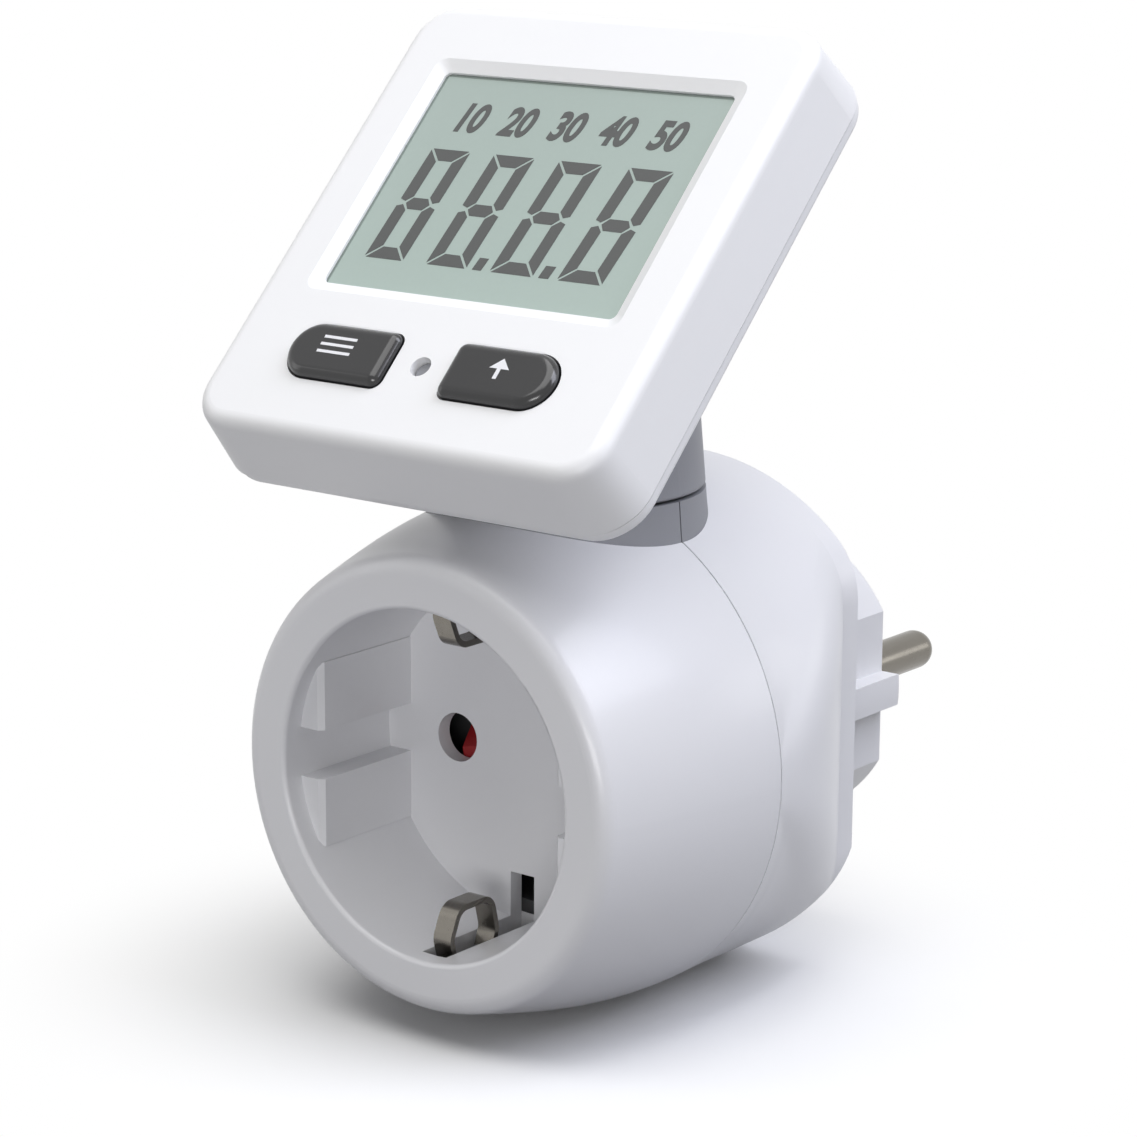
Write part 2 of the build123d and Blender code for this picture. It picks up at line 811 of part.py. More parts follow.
# Collar: two halves round the spigot of the neck, with a groove for its lip
with BuildPart() as collar:
    add(collar_form(0, collar_top))
    with BuildSketch(Plane.XY.offset(collar_bottom)):
        with Locations((0, parting_y)):
            Circle(neck_spigot_radius + pivot_gap)
    extrude(amount=collar_top - collar_bottom, mode=Mode.SUBTRACT)
    with BuildSketch(Plane.XY.offset(neck_lip_bottom - pivot_gap)):
        with Locations((0, parting_y)):
            Circle(neck_lip_radius + run_gap)
    extrude(amount=neck_lip_height + 2 * pivot_gap, mode=Mode.SUBTRACT)
with BuildPart() as collar_front:
    add(collar.part)
    split(bisect_by=at_depth(parting_depth - collar_slit / 2), keep=Keep.TOP)
write(collar_front, "collar_front")
with BuildPart() as collar_rear:
    add(collar.part)
    split(bisect_by=at_depth(parting_depth + collar_slit / 2), keep=Keep.BOTTOM)
write(collar_rear, "collar_rear")

# Neck: hollow cone under the head, spigot and lip that turn in the collar
neck_end = head_thickness + press_gap
with BuildPart() as neck_post:
    add(neck_form(0, neck_base, neck_end))
    fillet(edges().filter_by(GeomType.CIRCLE).sort_by(Axis.Z)[0], radius=neck_edge)
    add(neck_form(neck_wall, neck_base + neck_wall, neck_end + neck_end_wall), mode=Mode.SUBTRACT)
    with BuildSketch(Plane.XY.offset(neck_spigot_bottom)):
        with Locations((0, parting_y)):
            Circle(neck_spigot_radius)
    extrude(amount=neck_base + neck_wall / 2 - neck_spigot_bottom)
    with BuildSketch(Plane.XY.offset(neck_lip_bottom)):
        with Locations((0, parting_y)):
            Circle(neck_lip_radius)
    extrude(amount=neck_lip_height)
    with BuildSketch(Plane.XY.offset(neck_spigot_bottom)):
        with Locations((0, parting_y)):
            Circle(neck_bore_radius)
    extrude(amount=neck_base + neck_wall - neck_spigot_bottom, mode=Mode.SUBTRACT)
    with BuildSketch(head_at(neck_end)):
        with Locations((0, cable_hole_up)):
            Circle(cable_hole_radius)
        with Locations(*neck_screw_spots):
            Circle(small_screw_radius + press_gap)
    extrude(amount=-neck_end_wall, mode=Mode.SUBTRACT)
write(neck_post, "neck_post")

neck_screws = screw_group(
    head_at(cover_front - press_gap),
    neck_screw_spots,
    small_screw_radius,
    neck_screw_length,
    small_screw_head,
    small_screw_head_height,
)
write(neck_screws, "neck_screws")


def button_outline(side, grow):
    # Straight edge towards the middle, half-round outer end
    with BuildSketch() as outline:
        reach = button_length - button_height / 2
        with Locations((side * (button_inner + reach / 2), -button_low)):
            Rectangle(reach + 2 * grow, button_height + 2 * grow)
        fillet(
            vertices().group_by(Axis.X)[0 if side > 0 else -1],
            radius=button_corner + max(grow, 0),
        )
        with Locations((side * (button_inner + reach), -button_low)):
            Circle(button_height / 2 + grow)
    return outline.sketch


head_spots = [
    (x, z) for x in (-head_post_x, head_post_x) for z in (-head_post_low, head_post_top)
]
cavity_corner = head_corner - case_wall

# Front case of the head: drafted walls, window with a bevelled edge, button openings, posts
with BuildPart() as head_front_case:
    with BuildSketch(head_at(case_depth)):
        with Locations((0, head_mid)):
            RectangleRounded(head_width, head_height, head_corner)
    extrude(amount=case_depth, taper=head_draft)
    front_edges = faces().sort_by(Axis(head_face.origin, head_face.z_dir))[-1].edges()
    fillet(front_edges, radius=head_edge)
    with BuildSketch(head_at(case_depth)):
        with Locations((0, head_mid)):
            RectangleRounded(
                head_width - 2 * case_wall, head_height - 2 * case_wall, cavity_corner
            )
    extrude(amount=case_depth - case_wall, taper=head_draft, mode=Mode.SUBTRACT)
    # posts for the display board
    with BuildSketch(head_at(display_board_depth - press_gap)):
        with Locations(*head_spots):
            Circle(head_post_radius)
    extrude(amount=display_board_depth - press_gap - case_wall / 2)
    with BuildSketch(head_at(display_board_depth - press_gap)):
        with Locations(*head_spots):
            Circle(small_screw_radius + press_gap)
    extrude(amount=display_board_depth - press_gap - case_wall, mode=Mode.SUBTRACT)
    # thinner wall over the display, window and its bevel
    with BuildSketch(head_at(case_wall)):
        Rectangle(panel_width + 2 * slide_gap, panel_height + 2 * slide_gap)
    extrude(amount=case_wall - window_wall, mode=Mode.SUBTRACT)
    with BuildSketch(head_at(window_wall)):
        RectangleRounded(window_width, window_height, window_corner)
    extrude(amount=window_wall, mode=Mode.SUBTRACT)
    with BuildSketch(head_at(window_bevel_depth)):
        RectangleRounded(window_width, window_height, window_corner)
    with BuildSketch(head_face):
        RectangleRounded(
            window_width + 2 * window_bevel,
            window_height + 2 * window_bevel,
            window_corner + window_bevel / 2,
        )
    loft(mode=Mode.SUBTRACT)
    # openings for the buttons and the reset plunger
    with BuildSketch(head_at(case_wall)):
        for side in (-1, 1):
            add(button_outline(side, slide_gap))
        with Locations((0, -button_low)):
            Circle(reset_hole_radius)
    extrude(amount=case_wall, mode=Mode.SUBTRACT)
write(head_front_case, "head_front_case")

# Back cover: thin plate with a lip inside the case and tubes that clamp the display board
with BuildPart() as head_back_cover:
    with BuildSketch(head_at(head_thickness)):
        with Locations((0, head_mid)):
            RectangleRounded(
                head_width - 2 * cover_inset, head_height - 2 * cover_inset, head_corner - cover_inset
            )
    extrude(amount=head_thickness - cover_front)
    back_edges = faces().sort_by(Axis(head_face.origin, head_face.z_dir))[0].edges()
    fillet(back_edges, radius=cover_edge)
    lip_inset = case_wall + slide_gap
    with BuildSketch(head_at(head_thickness - case_wall / 2)):
        with Locations((0, head_mid)):
            RectangleRounded(
                head_width - 2 * lip_inset, head_height - 2 * lip_inset, head_corner - lip_inset
            )
            RectangleRounded(
                head_width - 2 * lip_inset - 2 * cover_lip,
                head_height - 2 * lip_inset - 2 * cover_lip,
                head_corner - lip_inset - cover_lip,
                mode=Mode.SUBTRACT,
            )
    extrude(amount=head_thickness - case_wall / 2 - cover_front + cover_lip_height)
    with BuildSketch(head_at(head_thickness - case_wall / 2)):
        with Locations(*head_spots):
            Circle(head_post_radius)
    extrude(amount=head_thickness - case_wall / 2 - display_board_back - press_gap)
    with BuildSketch(head_at(head_thickness)):
        with Locations(*head_spots):
            Circle(small_screw_radius + slide_gap / 2)
        with Locations(*neck_screw_spots):
            Circle(small_screw_radius + slide_gap / 2)
        with Locations((0, cable_hole_up)):
            Circle(cable_hole_radius)
    extrude(amount=head_thickness - display_board_back, mode=Mode.SUBTRACT)
    with BuildSketch(head_at(head_thickness)):
        with Locations(*head_spots):
            Circle(small_screw_head + slide_gap / 2)
    extrude(amount=cover_seat_depth, mode=Mode.SUBTRACT)
write(head_back_cover, "head_back_cover")

cover_screws = screw_group(
    from_behind(head_at(head_thickness - cover_seat_depth + press_gap)),
    [(x, -z) for x, z in head_spots],
    small_screw_radius,
    head_thickness - cover_seat_depth - case_wall - small_edge,
    small_screw_head,
    cover_seat_depth - 2 * press_gap,
)
write(cover_screws, "cover_screws")

# Display: glass panel in a holder, rubber connector down to the display board
panel_front = window_wall + press_gap
panel_back = panel_front + panel_thickness
with BuildPart() as lcd_panel:
    with BuildSketch(head_at(panel_back)):
        Rectangle(panel_width, panel_height)
    extrude(amount=panel_thickness)
write(lcd_panel, "lcd_panel")

holder_front = case_wall + slide_gap
holder_back = display_board_depth - press_gap
holder_floor = panel_back + press_gap
connector_width = panel_width - 2 * connector_inset
with BuildPart() as lcd_holder:
    with BuildSketch(head_at(holder_back)):
        Rectangle(
            panel_width + 2 * slide_gap + 2 * holder_rim,
            panel_height + 2 * slide_gap + 2 * holder_rim,
        )
    extrude(amount=holder_back - holder_front)
    for end, start in ((holder_floor, holder_front), (holder_back, holder_floor + holder_rim)):
        with BuildSketch(head_at(end)):
            Rectangle(panel_width + 2 * slide_gap, panel_height + 2 * slide_gap)
        extrude(amount=end - start, mode=Mode.SUBTRACT)
    with BuildSketch(head_at(holder_back)):
        Rectangle(panel_width - 2 * holder_ledge, 2 * (connector_low - holder_bar))
        with Locations((0, -connector_low)):
            Rectangle(
                connector_width + 2 * slide_gap, connector_thickness + 2 * slide_gap
            )
    extrude(amount=holder_back - holder_front, mode=Mode.SUBTRACT)
write(lcd_holder, "lcd_holder")

with BuildPart() as lcd_connector:
    with BuildSketch(head_at(holder_back)):
        with Locations((0, -connector_low)):
            Rectangle(connector_width, connector_thickness)
    extrude(amount=holder_back - holder_floor)
write(lcd_connector, "lcd_connector")

with BuildPart() as display_board:
    with BuildSketch(head_at(display_board_back)):
        with Locations((0, head_mid)):
            RectangleRounded(
                head_width - 2 * display_board_inset,
                head_height - 2 * display_board_inset,
                head_corner - display_board_inset,
            )
        with Locations(*head_spots):
            Circle(small_screw_radius + slide_gap / 2, mode=Mode.SUBTRACT)
    extrude(amount=board_thickness)
write(display_board, "display_board")


def add_switch(spot, width, travel):
    # Body on the display board, plunger that ends just short of the button at full travel
    plunger_top = case_wall + press_gap + button_flange + travel + slide_gap
    board_face = display_board_depth - press_gap
    with BuildPart() as switch:
        with BuildSketch(head_at(board_face)):
            with Locations(spot):
                Rectangle(width, width)
        extrude(amount=switch_height)
        with BuildSketch(head_at(board_face)):
            with Locations(spot):
                Circle(width / 4)
        extrude(amount=board_face - plunger_top)
    return switch


def add_button(side):
    # Cap with rounded edges in the opening, and a flange behind the wall
    flange_front = case_wall + press_gap
    with BuildPart() as button:
        with BuildSketch(head_at(flange_front + button_flange)):
            add(button_outline(side, 0))
        extrude(amount=flange_front + button_flange + button_proud)
        top = faces().sort_by(Axis(head_face.origin, head_face.z_dir))[-1]
        fillet(top.edges(), radius=button_crown)
        with BuildSketch(head_at(flange_front + button_flange)):
            add(button_outline(side, button_flange))
        extrude(amount=button_flange)
    return button


button_middle = button_inner + button_length / 2
for name, side in (("mode", -1), ("up", 1)):
    write(add_button(side), f"{name}_button")
    write(
        add_switch((side * button_middle, -button_low), switch_width, button_travel),
        f"{name}_switch",
    )

with BuildPart() as reset_button:
    flange_front = case_wall + press_gap
    with BuildSketch(head_at(flange_front + button_flange)):
        with Locations((0, -button_low)):
            Circle(reset_flange_radius)
    extrude(amount=button_flange)
    with BuildSketch(head_at(flange_front)):
        with Locations((0, -button_low)):
            Circle(reset_radius)
    extrude(amount=flange_front - reset_recess)
write(reset_button, "reset_button")
write(add_switch((0, -button_low), small_switch_width, reset_travel), "reset_switch")

# Backup cell on the display board, held by a strap
with BuildPart() as backup_battery:
    with BuildSketch(from_behind(head_at(display_board_back + press_gap))):
        with Locations((-cell_x, cell_low)):
            Circle(cell_radius)
    extrude(amount=cell_thickness)
    fillet(edges().filter_by(GeomType.CIRCLE), radius=small_edge)
write(backup_battery, "backup_battery")

with BuildPart() as battery_clip:
    strap_origin = head_face.from_local_coords((-cell_x, -cell_low, -display_board_back))
    strap_plane = Plane(origin=strap_origin, x_dir=(1, 0, 0), z_dir=head_face.y_dir)
    strap_low = clip_strip / 2 + press_gap
    strap_high = cell_thickness + 2 * press_gap + clip_strip / 2
    strap_side = cell_radius + run_gap + clip_strip / 2
    with BuildSketch(strap_plane):
        with BuildLine():
            FilletPolyline(
                (-strap_side - strap_foot, strap_low),
                (-strap_side, strap_low),
                (-strap_side, strap_high),
                (strap_side, strap_high),
                (strap_side, strap_low),
                (strap_side + strap_foot, strap_low),
                radius=clip_strip,
            )
        trace(line_width=clip_strip)
    extrude(amount=clip_width / 2, both=True)
write(battery_clip, "battery_clip")

# Cable from the main board through the collar and the neck to the display board
with BuildPart() as ribbon_cable:
    with BuildLine():
        head_end = head_face.from_local_coords(
            (0, cable_hole_up, -display_board_back - cable_radius / 3)
        )
        neck_end_point = head_face.from_local_coords((0, cable_hole_up, -head_thickness))
        route = Spline(
            *[(x, rim_y + depth, height) for x, depth, height in cable_bends],
            neck_end_point,
            head_end,
        )
    with BuildSketch(Plane(origin=route @ 0, z_dir=route % 0)):
        RegularPolygon(cable_radius, 8)
    sweep()
write(ribbon_cable, "ribbon_cable")
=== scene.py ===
import math
import bpy
import numpy as np
from mathutils import Matrix, Vector


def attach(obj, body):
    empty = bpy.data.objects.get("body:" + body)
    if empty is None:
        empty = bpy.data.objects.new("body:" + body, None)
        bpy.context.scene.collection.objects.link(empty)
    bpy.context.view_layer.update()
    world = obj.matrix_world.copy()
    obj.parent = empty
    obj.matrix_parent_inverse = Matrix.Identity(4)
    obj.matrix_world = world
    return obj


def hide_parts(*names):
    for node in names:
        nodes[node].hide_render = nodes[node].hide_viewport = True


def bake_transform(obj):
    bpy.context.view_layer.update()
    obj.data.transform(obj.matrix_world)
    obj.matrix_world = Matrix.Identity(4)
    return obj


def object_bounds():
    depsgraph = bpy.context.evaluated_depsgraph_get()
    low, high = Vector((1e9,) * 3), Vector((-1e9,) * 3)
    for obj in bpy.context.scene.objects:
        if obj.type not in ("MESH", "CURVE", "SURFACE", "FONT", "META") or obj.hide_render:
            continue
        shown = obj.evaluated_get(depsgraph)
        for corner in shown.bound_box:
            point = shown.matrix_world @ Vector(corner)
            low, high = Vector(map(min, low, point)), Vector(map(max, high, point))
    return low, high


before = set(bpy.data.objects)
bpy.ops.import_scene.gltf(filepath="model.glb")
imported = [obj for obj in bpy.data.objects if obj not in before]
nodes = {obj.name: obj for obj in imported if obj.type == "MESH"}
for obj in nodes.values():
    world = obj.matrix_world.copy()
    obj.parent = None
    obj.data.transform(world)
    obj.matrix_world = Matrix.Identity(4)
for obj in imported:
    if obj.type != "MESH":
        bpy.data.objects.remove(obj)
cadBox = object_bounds()
print("frame loaded:", len(nodes), "nodes")

mm = 0.001


def addObject(name, data):
    # new object at the origin, in the scene
    made = bpy.data.objects.new(name, data)
    bpy.context.scene.collection.objects.link(made)
    return made


def meshFromCurve(name, curve):
    # mesh of a text or of a thick curve; the object that holds the curve goes again
    holder = addObject(name + "_curve", curve)
    bpy.context.view_layer.update()
    mesh = bpy.data.meshes.new_from_object(holder)
    bpy.data.objects.remove(holder)
    mesh.materials.clear()
    return mesh


# camera
view = {
    "place": (237.72, -349.68, 112.04),  # mm, in the frame of the part
    "azimuth": 37.667,  # degrees, from straight in front of the socket
    "elevation": 13.355,
    "roll": 0.385,
    "focalPixels": 3544.5,
    "imagePixels": 1137,
    "sensor": 36.0,
    "nearest": 0.01,  # metres, where the picture starts and ends
    "farthest": 50,
}


def aimCamera(look):
    # back = direction from the object to the camera; right and up are turned by the roll
    azimuth, elevation, roll = (math.radians(look[k]) for k in ("azimuth", "elevation", "roll"))
    back = Vector((math.sin(azimuth) * math.cos(elevation),
                   -math.cos(azimuth) * math.cos(elevation),
                   math.sin(elevation)))
    level = Vector((math.cos(azimuth), math.sin(azimuth), 0))
    upright = back.cross(level)
    right = level * math.cos(roll) + upright * math.sin(roll)
    up = upright * math.cos(roll) - level * math.sin(roll)
    data = bpy.data.cameras.new("camera")
    data.sensor_width = look["sensor"]
    data.lens = look["sensor"] * look["focalPixels"] / look["imagePixels"]
    data.clip_start = look["nearest"]
    data.clip_end = look["farthest"]
    camera = addObject("camera", data)
    turn = Matrix((right, up, back)).transposed().to_4x4()
    camera.matrix_world = Matrix.Translation(Vector(look["place"]) * mm) @ turn
    bpy.context.scene.camera = camera


aimCamera(view)
bpy.context.scene.view_settings.view_transform = "Standard"
print("camera set")

# materials
surface = {
    "grainDepthShare": 0.12,  # depth of a plastic's skin over the size of its grain
    "polishRoughness": 0.06,  # of the clear shine on polished plastic
    "glassRoughness": 0.05,  # of the glass over the crystal
    "brightShare": 0.7,  # a metal's roughness on its bright and on its dull streaks
    "dullShare": 1.4,
    "pitDepth": 0.02,  # mm
    "inkMottle": 0.3,
    "glassHaze": 0.5,
    "hazeShare": 0.04,
    "joinSamples": 8,
}


def linear(hexColour):
    # sRGB hex to linear RGBA
    parts = [int(hexColour[i:i + 2], 16) / 255 for i in (0, 2, 4)]
    return tuple(c / 12.92 if c <= 0.04045 else ((c + 0.055) / 1.055) ** 2.4 for c in parts) + (1,)


def addNode(tree, kind, settings=None, links=None):
    # one shader node: settings go to its inputs or its own fields, links join other outputs to it
    node = tree.nodes.new(kind)
    for key, value in (settings or {}).items():
        if isinstance(key, str) and hasattr(node, key) and key not in node.inputs:
            setattr(node, key, value)
        else:
            node.inputs[key].default_value = value
    for key, output in (links or {}).items():
        tree.links.new(output, node.inputs[key])
    return node


def newMaterial(name, settings):
    # a Principled material with its uniform values on the shader's own sockets
    material = bpy.data.materials.new(name)
    material.use_nodes = True
    tree = material.node_tree
    shader = tree.nodes["Principled BSDF"]
    for key, value in settings.items():
        shader.inputs[key].default_value = value
    place = addNode(tree, "ShaderNodeTexCoord")
    return material, tree, shader, place.outputs["Object"]


def mouldedPlastic(name, look):
    # injection-moulded plastic: faint colour drift of the melt, uneven polish, fine skin of the tool
    material, tree, shader, place = newMaterial(name, {
        "IOR": look["ior"], "Coat Weight": look.get("coat", 0.0),
        "Coat Roughness": surface["polishRoughness"],
    })
    drift = addNode(tree, "ShaderNodeTexNoise", {"Scale": 1 / (look["drift"] * mm), "Detail": 2.0},
                    {"Vector": place})
    colour = addNode(tree, "ShaderNodeMixRGB",
                     {"Color1": linear(look["colour"]), "Color2": linear(look["shade"])},
                     {"Fac": drift.outputs["Fac"]})
    polish = addNode(tree, "ShaderNodeMapRange",
                     {"To Min": look["roughness"] - look["uneven"],
                      "To Max": look["roughness"] + look["uneven"]},
                     {"Value": drift.outputs["Fac"]})
    grain = addNode(tree, "ShaderNodeTexNoise",
                    {"Scale": 1 / (look["grain"] * mm), "Detail": 3.0, "Roughness": 0.6},
                    {"Vector": place})
    bump = addNode(tree, "ShaderNodeBump",
                   {"Strength": look["relief"],
                    "Distance": look["grain"] * mm * surface["grainDepthShare"]},
                   {"Height": grain.outputs["Fac"]})
    tree.links.new(colour.outputs["Color"], shader.inputs["Base Color"])
    tree.links.new(polish.outputs["Result"], shader.inputs["Roughness"])
    tree.links.new(bump.outputs["Normal"], shader.inputs["Normal"])
    if "soften" in look:
        tree.links.new(softJoins(tree, place, look["soften"]), bump.inputs["Normal"])
    return material


def softJoins(tree, place, look):
    # normal averaged over a small disc, so that blended faces meet without a line; the disc shrinks
    # to nothing towards the parting, the plug and the collar, where the edges are real
    axes = addNode(tree, "ShaderNodeSeparateXYZ", links={"Vector": place})
    reach = addNode(tree, "ShaderNodeValue").outputs[0]
    reach.default_value = look["radius"] * mm
    for axis, gone, full in look["fades"]:
        fade = addNode(tree, "ShaderNodeMapRange",
                       {"interpolation_type": "SMOOTHSTEP",
                        "From Min": gone * mm, "From Max": full * mm},
                       {"Value": axes.outputs[axis]})
        reach = addNode(tree, "ShaderNodeMath", {"operation": "MULTIPLY"},
                        {0: reach, 1: fade.outputs["Result"]}).outputs[0]
    disc = addNode(tree, "ShaderNodeBevel", {"samples": surface["joinSamples"]}, {"Radius": reach})
    return disc.outputs["Normal"]


def platedMetal(name, look):
    # plated or drawn metal: streaks along one axis from forming, tiny pits that break the shine
    material, tree, shader, place = newMaterial(name, {"Metallic": 1.0})
    squeeze = addNode(tree, "ShaderNodeMapping", {"Scale": look["streak"]}, {"Vector": place})
    streaks = addNode(tree, "ShaderNodeTexNoise",
                      {"Scale": 1 / (look["grain"] * mm), "Detail": 4.0, "Roughness": 0.65},
                      {"Vector": squeeze.outputs["Vector"]})
    colour = addNode(tree, "ShaderNodeMixRGB",
                     {"Color1": linear(look["colour"]), "Color2": linear(look["shade"])},
                     {"Fac": streaks.outputs["Fac"]})
    polish = addNode(tree, "ShaderNodeMapRange",
                     {"To Min": look["roughness"] * surface["brightShare"],
                      "To Max": look["roughness"] * surface["dullShare"]},
                     {"Value": streaks.outputs["Fac"]})
    bump = addNode(tree, "ShaderNodeBump",
                   {"Strength": look["relief"], "Distance": surface["pitDepth"] * mm},
                   {"Height": streaks.outputs["Fac"]})
    tree.links.new(colour.outputs["Color"], shader.inputs["Base Color"])
    tree.links.new(polish.outputs["Result"], shader.inputs["Roughness"])
    tree.links.new(bump.outputs["Normal"], shader.inputs["Normal"])
    return material


# glossy ABS of the two shells: bright soft highlights on a neutral white
shellLook = {
    "colour": "E5E5E7", "shade": "E1E1E4", "roughness": 0.34, "uneven": 0.03, "ior": 1.53,
    "drift": 14.0, "grain": 0.9, "relief": 0.05, "coat": 0.12,
}
shellGloss = mouldedPlastic("whiteAbsPolishedMould", shellLook)
# the same plastic on the rear shell: its flat sides blend into the barrel without a line
rearJoins = {
    "radius": 3.5,  # mm
    "fades": (("Y", -42.0, -39.0), ("Y", -19.0, -23.5), ("Z", 22.0, 17.0)),  # axis, gone, full
}
rearGloss = mouldedPlastic("whiteAbsPolishedMouldBlended", {**shellLook, "soften": rearJoins})
# satin ABS of the display head: the same white, softer shine
headSatin = mouldedPlastic("whiteAbsSatinMould", {
    "colour": "F1F1F1", "shade": "EEEEEF", "roughness": 0.38, "uneven": 0.03, "ior": 1.53,
    "drift": 18.0, "grain": 0.45, "relief": 0.08,
})
# grey ABS of neck and collar: spark-eroded tool, a dull even skin
neckGrey = mouldedPlastic("greyAbsSparkTexture", {
    "colour": "8C8D92", "shade": "87888D", "roughness": 0.5, "uneven": 0.05, "ior": 1.53,
    "drift": 10.0, "grain": 0.3, "relief": 0.25,
})
# charcoal ABS of the buttons: near black, with a clear shine on the rounded edges
buttonGloss = mouldedPlastic("charcoalAbsPolishedMould", {
    "colour": "171719", "shade": "131315", "roughness": 0.2, "uneven": 0.03, "ior": 1.53,
    "drift": 6.0, "grain": 0.6, "relief": 0.05, "coat": 0.2,
})
# dark PBT of the contact carrier: heat-proof plastic, matte
carrierDark = mouldedPlastic("darkPbtMoulded", {
    "colour": "3A3A3C", "shade": "333335", "roughness": 0.55, "uneven": 0.05, "ior": 1.55,
    "drift": 8.0, "grain": 0.4, "relief": 0.2,
})
# red polyamide of the shutter: deep red, slightly waxy
shutterRed = mouldedPlastic("redPolyamideMoulded", {
    "colour": "A32024", "shade": "8E1A1F", "roughness": 0.42, "uneven": 0.05, "ior": 1.53,
    "drift": 5.0, "grain": 0.5, "relief": 0.15,
})
# epoxy and case plastic of chips, switches and the display holder: black, fine and dull
partBlack = mouldedPlastic("blackEpoxyMoulded", {
    "colour": "2B2B2D", "shade": "242426", "roughness": 0.5, "uneven": 0.06, "ior": 1.55,
    "drift": 4.0, "grain": 0.3, "relief": 0.2,
})
# case of the film capacitor: mustard yellow with a soft shine
filmYellow = mouldedPlastic("yellowPbtCase", {
    "colour": "C9A93A", "shade": "BF9E32", "roughness": 0.35, "uneven": 0.05, "ior": 1.55,
    "drift": 6.0, "grain": 0.5, "relief": 0.1,
})
# rubber strip between board and display: dark, with hardly any shine
rubberDark = mouldedPlastic("siliconeRubberStrip", {
    "colour": "2E2E30", "shade": "262628", "roughness": 0.7, "uneven": 0.05, "ior": 1.41,
    "drift": 3.0, "grain": 0.3, "relief": 0.2,
})
# sheath of the cable: mid grey, smooth and dull
cableGrey = mouldedPlastic("greyPvcSheath", {
    "colour": "6D6F73", "shade": "64666A", "roughness": 0.5, "uneven": 0.05, "ior": 1.54,
    "drift": 4.0, "grain": 0.4, "relief": 0.15,
})
# solder mask on glass fibre: deep green that shines unevenly over the weave
boardGreen = mouldedPlastic("greenSolderMaskBoard", {
    "colour": "1F5B34", "shade": "1A4D2C", "roughness": 0.35, "uneven": 0.08, "ior": 1.55,
    "drift": 2.0, "grain": 0.6, "relief": 0.2,
})
# nickel plate on brass: warm grey metal, drawn along the pins
nickelPlate = platedMetal("nickelPlatedBrass", {
    "colour": "86827B", "shade": "76726B", "roughness": 0.24, "grain": 0.8,
    "streak": (1.0, 0.15, 1.0), "relief": 0.25,
})
# zinc on steel screws, springs and the cell: cool bright grey with an even grain
zincSteel = platedMetal("zincPlatedSteel", {
    "colour": "B9BCC0", "shade": "9EA1A6", "roughness": 0.32, "grain": 0.4,
    "streak": (1.0, 1.0, 1.0), "relief": 0.3,
})
# resistance alloy of the shunt: coppery grey, rolled along the strip
manganinStrip = platedMetal("manganinRolledStrip", {
    "colour": "B08D74", "shade": "9C7A63", "roughness": 0.35, "grain": 0.5,
    "streak": (0.2, 1.0, 1.0), "relief": 0.3,
})


def displayGlass(name, look):
    # reflective liquid crystal cell: grey-green that changes a little with the height, a fine haze
    # in it, under polished glass
    material, tree, shader, place = newMaterial(name, {
        "IOR": look["ior"], "Roughness": look["roughness"], "Coat Weight": look["coat"],
        "Coat Roughness": surface["glassRoughness"], "Coat IOR": look["ior"],
    })
    height = addNode(tree, "ShaderNodeSeparateXYZ", links={"Vector": place})
    rise = addNode(tree, "ShaderNodeMapRange",
                   {"From Min": look["foot"] * mm, "From Max": look["top"] * mm},
                   {"Value": height.outputs["Z"]})
    haze = addNode(tree, "ShaderNodeTexNoise",
                   {"Scale": 1 / (surface["glassHaze"] * mm), "Detail": 2.0}, {"Vector": place})
    colour = addNode(tree, "ShaderNodeMixRGB",
                     {"Color1": linear(look["low"]), "Color2": linear(look["high"])},
                     {"Fac": rise.outputs["Result"]})
    misted = addNode(tree, "ShaderNodeMixRGB",
                     {"blend_type": "MULTIPLY", "Fac": surface["hazeShare"]},
                     {"Color1": colour.outputs["Color"], "Color2": haze.outputs["Fac"]})
    tree.links.new(misted.outputs["Color"], shader.inputs["Base Color"])
    return material


def printOrShadeTone(name, look):
    # thin print, switched crystal or painted shadow: flat tone with a faint mottle
    material, tree, shader, place = newMaterial(name, {
        "IOR": look["ior"], "Roughness": look["roughness"], "Coat Weight": look.get("coat", 0.0),
        "Coat Roughness": surface["glassRoughness"],
    })
    mottle = addNode(tree, "ShaderNodeTexNoise",
                     {"Scale": 1 / (surface["inkMottle"] * mm), "Detail": 2.0}, {"Vector": place})
    colour = addNode(tree, "ShaderNodeMixRGB",
                     {"Color1": linear(look["colour"]), "Color2": linear(look["shade"])},
                     {"Fac": mottle.outputs["Fac"]})
    tree.links.new(colour.outputs["Color"], shader.inputs["Base Color"])
    return material


# liquid crystal behind glass: pale grey-green under a clear gloss
crystalGreen = displayGlass("liquidCrystalGlass", {
    "low": "A5B5AD", "high": "A0AEA7", "roughness": 0.35, "ior": 1.5, "coat": 0.3,
    "foot": 52.7, "top": 74.7,  # mm, heights between which the tone changes
})
# crystal that is switched on: dark grey, under the same gloss
crystalDark = printOrShadeTone("liquidCrystalSegments", {
    "colour": "404241", "shade": "3A3C3B", "roughness": 0.4, "ior": 1.5, "coat": 0.3,
})
# painted shadow of the window's top and left walls on the glass: softer than the figures
shadowInk = printOrShadeTone("paintedWindowShadow", {
    "colour": "76827C", "shade": "707C76", "roughness": 0.4, "ior": 1.5, "coat": 0.3,
})
# pad print on the buttons: white and a little dull
markWhite = printOrShadeTone("whitePadPrint", {
    "colour": "EDEDEF", "shade": "E4E4E8", "roughness": 0.45, "ior": 1.5,
})

